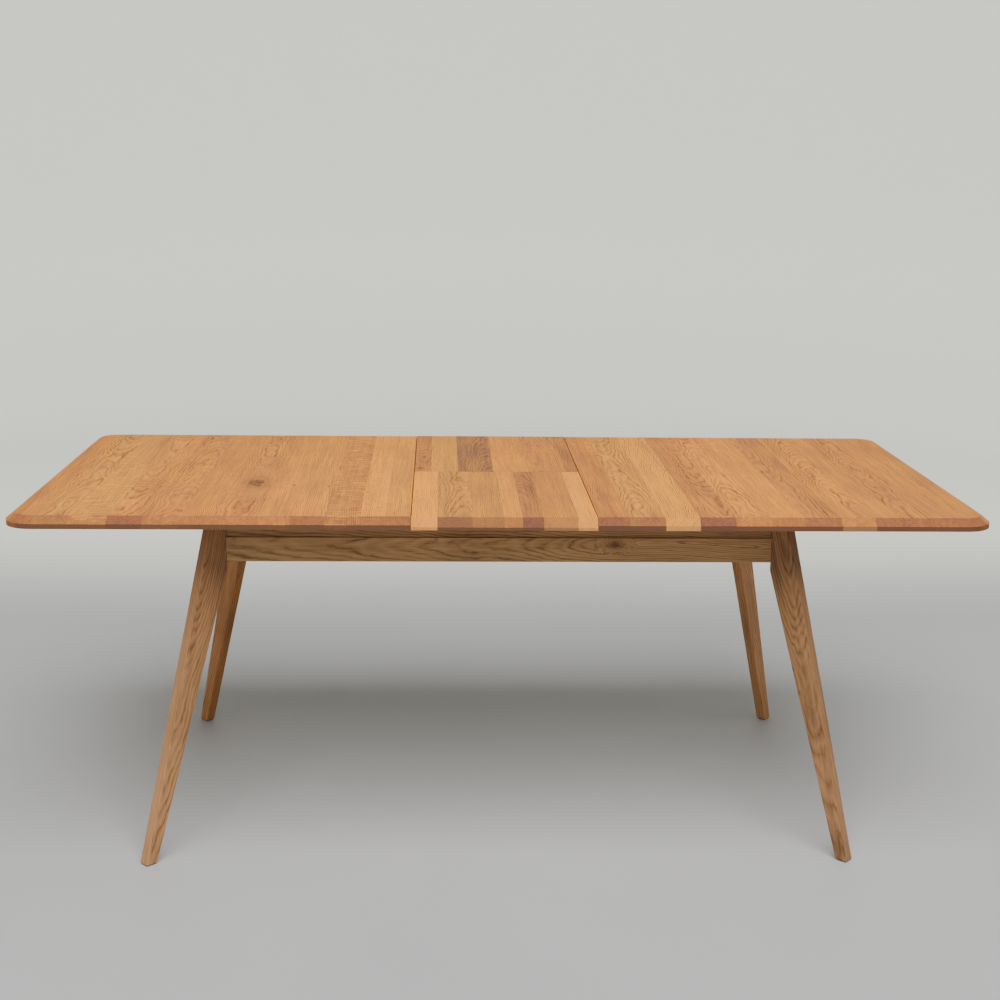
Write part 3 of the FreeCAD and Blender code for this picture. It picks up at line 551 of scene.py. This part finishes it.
# Width of each stave, its tone, heart of its log across and down, and thirst of its end grain.
LEFT_STAVES = [
    (0.062, 0.36, 0.12, 0.05, 0.65), (0.068, 0.44, 0.01, 0.07, 0.60), (0.075, 0.47, 0.14, 0.03, 0.55),
    (0.068, 0.46, -0.02, 0.06, 0.90), (0.072, 0.36, 0.02, 0.09, 0.35), (0.070, 0.42, 0.11, 0.06, 0.50),
    (0.085, 0.40, 0.00, 0.06, 0.50), (0.060, 0.47, -0.13, 0.05, 0.45), (0.070, 0.50, 0.09, 0.05, 0.85),
    (0.070, 0.31, 0.19, 0.01, 0.45), (0.050, 0.69, 0.15, 0.02, 0.90), (0.050, 0.57, -0.12, 0.04, 0.85),
]
RIGHT_STAVES = [
    (0.060, 0.33, -0.13, 0.04, 0.85), (0.072, 0.44, -0.01, 0.06, 0.75), (0.070, 0.65, 0.06, 0.08, 0.00),
    (0.070, 0.34, 0.02, 0.04, 0.90), (0.073, 0.50, 0.00, 0.05, 0.40), (0.070, 0.54, 0.12, 0.05, 0.70),
    (0.070, 0.30, -0.03, 0.08, 0.70), (0.070, 0.42, 0.02, 0.06, 0.25), (0.050, 0.41, -0.14, 0.05, 0.80),
    (0.070, 0.34, 0.01, 0.05, 0.75), (0.065, 0.40, 0.10, 0.06, 0.80), (0.060, 0.34, -0.12, 0.07, 0.80),
]


def soak_sheen_and_seam_shade(tree, color, seen, soak):
    """The edges of an oiled slab.

    They are darker where oil soaks into the end grain, more so in a thirsty stave, and the bevel also carries
    a painted sheen, a blue-grey veil over the brown. The joints between the slabs get painted shade: dark
    brown down their faces and near black along their upper edges, where the gaps are. The underside and the
    long edges take less oil, and are plainer.
    """
    side, facing, rise = step(tree, "SeparateXYZ", {0: seen["Normal"]}).outputs
    side, facing = reckon(tree, "ABSOLUTE", side), reckon(tree, "ABSOLUTE", facing)
    thirst = step(tree, "SeparateColor", {0: soak}).outputs[0]
    bevel = reckon(tree, "MULTIPLY_ADD", thirst, BEVEL_GAIN, BEVEL_LEAST)
    bevel = between(tree, facing, 0.25, 0.5, 0.0, bevel)
    brink = between(tree, facing, 0.7, 0.95, 0.0, between(tree, thirst, 0.0, SOAKED_FROM, *END_SHARES))
    oiled = tinted(tree, between(tree, thirst, 0.0, SOAKED_FROM), BARE_BROWN, END_BROWN)
    # The bevel is darkened for its soaked end grain and tinted blue-grey as a painted sheen.
    color = tinted(tree, bevel, color, BEVEL_SOAK_AND_SHEEN)
    color = tinted(tree, brink, color, oiled)
    bare = between(tree, rise, -0.9, -0.5, BARE_SHARE, 0.0)
    bare = reckon(tree, "MAXIMUM", between(tree, side, 0.8, 0.97, 0.0, BARE_SHARE), bare)
    color = tinted(tree, bare, color, BARE_BROWN)
    reach, _, level = step(tree, "SeparateXYZ", {0: seen["Object"]}).outputs
    inner = reckon(tree, "LESS_THAN", reckon(tree, "ABSOLUTE", reach), JOINT_REACH)
    # Painted shade in the seams: the joint faces near the middle turn dark brown, and near black at the top.
    seam_shade = between(tree, side, 0.02, 0.2, 0.0, between(tree, level, SEAM_SHADE_LOW, SEAM_SHADE_HIGH, 0.8, 1.0))
    stain_and_seam_shade = tinted(tree, between(tree, level, SEAM_SHADE_LOW, SEAM_SHADE_HIGH), END_BROWN, SEAM_SHADE_BROWN)
    color = tinted(tree, reckon(tree, "MULTIPLY", seam_shade, inner), color, stain_and_seam_shade)
    return color


left_oak = oak("oak of the left half", TOP_PALE, TOP_DEEP, (0, 1, 0), (1, 0, 0), (-0.5858, 0, 0.738),
               LEFT_STAVES, [(0.064, -0.125, 0.024), (0.145, -0.15, 0.003), (0.22, -0.16, 0.003)],
               TOP_RINGS, HALF_FORCE, edges=soak_sheen_and_seam_shade)
right_oak = oak("oak of the right half", TOP_PALE, TOP_DEEP, (0, 1, 0), (1, 0, 0), (0.5858, 0, 0.738),
                RIGHT_STAVES, [(-0.16, 0.02, 0.003)], TOP_RINGS, HALF_FORCE, edges=soak_sheen_and_seam_shade)


def eased(name, body, finish):
    """A slab with the arrises of its upper face taken off."""
    mesh = bmesh.new()
    mesh.from_mesh(boards[name].data)
    bmesh.ops.remove_doubles(mesh, verts=mesh.verts[:], dist=MERGED)
    bmesh.ops.dissolve_limit(mesh, angle_limit=FLAT_TURN, verts=mesh.verts[:], edges=mesh.edges[:])
    level = max(vert.co.z for vert in mesh.verts) - LEVEL_SLACK
    arrises = [edge for edge in mesh.edges
               if min(vert.co.z for vert in edge.verts) > level and edge.calc_face_angle(0) > ARRIS_TURN]
    bmesh.ops.bevel(mesh, geom=arrises, offset=ARRIS, segments=ARRIS_SEGMENTS, profile=0.5,
                    affect="EDGES", material=-1)
    for face in mesh.faces:
        face.smooth = True
    for edge in mesh.edges:
        edge.smooth = edge.calc_face_angle(0) < SHARP_TURN
    piece = fitted(mesh, name, body, finish)
    piece.modifiers.new("even shading", "WEIGHTED_NORMAL").keep_sharp = True


eased("top_left", "left_half", left_oak)
eased("top_right", "right_half", right_oak)

# Leaf: two panels glued from shorter staves, more mixed in colour than the halves, hinged to fold up face to
# face. Their outer edges carry on the bevel of the top.
LEAF_FORCE = 1.1
FRONT_STAVES = [
    (0.052, 0.79, 0.12, 0.05, 0.05), (0.068, 0.40, 0.02, 0.08, 0.85), (0.065, 0.38, 0.09, 0.05, 0.50),
    (0.035, 0.57, 0.13, 0.03, 0.55), (0.042, 0.16, -0.02, 0.06, 0.90), (0.068, 0.36, 0.10, 0.05, 0.25),
    (0.040, 0.77, -0.13, 0.04, 0.10),
]
BACK_STAVES = [
    (0.037, 0.21, 0.00, 0.05, 0.60), (0.060, 0.55, 0.10, 0.05, 0.20), (0.080, 0.08, 0.04, 0.09, 0.90),
    (0.080, 0.52, 0.11, 0.05, 0.30), (0.083, 0.34, -0.02, 0.06, 0.50), (0.030, 0.20, -0.12, 0.05, 0.70),
]
front_oak = oak("oak of the leaf in front", TOP_PALE, TOP_DEEP, (0, 1, 0), (1, 0, 0), (0, -0.225, 0.738),
                FRONT_STAVES, (), TOP_RINGS, LEAF_FORCE, edges=soak_sheen_and_seam_shade)
back_oak = oak("oak of the leaf behind", TOP_PALE, TOP_DEEP, (0, 1, 0), (1, 0, 0), (0, 0.225, 0.738),
               BACK_STAVES, [(-0.172, -0.19, 0.006)], TOP_RINGS, LEAF_FORCE, edges=soak_sheen_and_seam_shade)
eased("leaf_front", "leaf_front_panel", front_oak)
eased("leaf_back", "leaf_back_panel", back_oak)

# Hinges of the leaf: turned brass barrels let into the two edges of the fold. Each is slotted for a curved
# steel arm that links it to its opposite barrel.
BRASS_DULL = (0.6, 0.42, 0.17, 1)
BRASS_BRIGHT = (0.8, 0.61, 0.3, 1)
BRASS_TURNING = (60.0, 2400.0, 60.0)
brass = bpy.data.materials.new("turned brass")
brass.use_nodes = True
tree = brass.node_tree
turning = cloud(tree, step(tree, "TexCoord", {}).outputs["Object"], BRASS_TURNING, 2.0)[0]
shader = tree.nodes["Principled BSDF"]
shader.inputs["Metallic"].default_value = 1.0
tree.links.new(tinted(tree, turning, BRASS_DULL, BRASS_BRIGHT), shader.inputs["Base Color"])
tree.links.new(between(tree, turning, 0.25, 0.75, 0.22, 0.42), shader.inputs["Roughness"])
for side in ("front", "back"):
    finished(brass, *("hinge_%s_%s" % (side, place) for place in ("left", "middle", "right")))
finished(zinc, "hinge_arms")

# Studio: a plain pale floor that sweeps up on every side into a round wall, and pales towards the back. A
# wide soft light hangs high in front of the table, with weaker ones at its left and right, and the surround
# is pale.
SWEEP_FLOOR = 4.6
SWEEP_BEND = 1.2
SWEEP_TOP = 4.5
SWEEP_STEPS = 12
SWEEP_SIDES = 96
PALE_START, PALE_END = 1.2, 2.6
FLOOR_DARK = (0.34, 0.344, 0.348, 1)
FLOOR_GREY = (0.4, 0.4, 0.4, 1)
FLOOR_PALE = (0.85, 0.86, 0.79, 1)
FLOOR_PATCH = (1.4, 1.4, 1.4)
SURROUND = (0.78, 0.76, 0.7, 1)
SURROUND_SHARE = 0.1
SENSOR = 36.0
LENS_SHARE = 1.5278
STAND = (-0.1318, -3.3693, 1.4582)
mesh = bmesh.new()
outline = [(0, 0)]
for index in range(SWEEP_STEPS + 1):
    turn = index * pi / 2 / SWEEP_STEPS
    outline.append((SWEEP_FLOOR + SWEEP_BEND * sin(turn), SWEEP_BEND - SWEEP_BEND * cos(turn)))
outline.append((SWEEP_FLOOR + SWEEP_BEND, SWEEP_TOP))
points = [mesh.verts.new((radius, 0, height)) for radius, height in outline]
lines = [mesh.edges.new(pair) for pair in zip(points, points[1:])]
bmesh.ops.spin(mesh, geom=points + lines, axis=(0, 0, 1), angle=2 * pi, steps=SWEEP_SIDES, use_merge=True)
bmesh.ops.remove_doubles(mesh, verts=mesh.verts[:], dist=MERGED)
for face in mesh.faces:
    face.smooth = True
floor = bpy.data.objects.new("floor", bpy.data.meshes.new("floor"))
mesh.to_mesh(floor.data)
mesh.free()
bpy.context.scene.collection.objects.link(floor)
pale_floor = bpy.data.materials.new("pale floor")
pale_floor.use_nodes = True
tree = pale_floor.node_tree
seen = step(tree, "TexCoord", {}).outputs["Object"]
scuff = cloud(tree, seen, FLOOR_PATCH, 5.0)[0]
ground = tinted(tree, scuff, FLOOR_DARK, FLOOR_GREY)
behind = between(tree, step(tree, "SeparateXYZ", {0: seen}).outputs[1], PALE_START, PALE_END)
shader = tree.nodes["Principled BSDF"]
tree.links.new(tinted(tree, behind, ground, FLOOR_PALE), shader.inputs["Base Color"])
shader.inputs["Roughness"].default_value = 0.6
floor.data.materials.append(pale_floor)

world = bpy.data.worlds.new("surround")
world.use_nodes = True
world.node_tree.nodes["Background"].inputs[0].default_value = SURROUND
world.node_tree.nodes["Background"].inputs[1].default_value = SURROUND_SHARE
bpy.context.scene.world = world
for name, power, spread, place, aim in (
    ("overhead", 1060.0, 6.0, (0.2, -3.8, 6.65), (0, 0, 0)),
    ("window", 30.0, 2.2, (-3.6, -2.7, 1.8), (0, 0, 0.3)),
    ("side", 16.0, 1.6, (3.4, -0.6, 2.0), (0.8, 0, 0.7)),
):
    lamp = bpy.data.lights.new(name, "AREA")
    lamp.energy = power
    lamp.size = spread
    light = bpy.data.objects.new(name, lamp)
    light.location = place
    light.visible_camera = False
    light.rotation_euler = (Vector(aim) - Vector(place)).to_track_quat("-Z", "Y").to_euler()
    bpy.context.scene.collection.objects.link(light)

lens = bpy.data.cameras.new("camera")
lens.sensor_width = SENSOR
lens.lens = SENSOR * LENS_SHARE
camera = bpy.data.objects.new("camera", lens)
right, down, ahead = (0.99917, -0.03863, 0.01284), (0.00386, -0.22398, -0.97459), (0.04053, 0.97383, -0.22365)
rows = [(right[axis], -down[axis], -ahead[axis], STAND[axis]) for axis in range(3)]
camera.matrix_world = Matrix([*rows, (0, 0, 0, 1)])
bpy.context.scene.collection.objects.link(camera)
bpy.context.scene.camera = camera
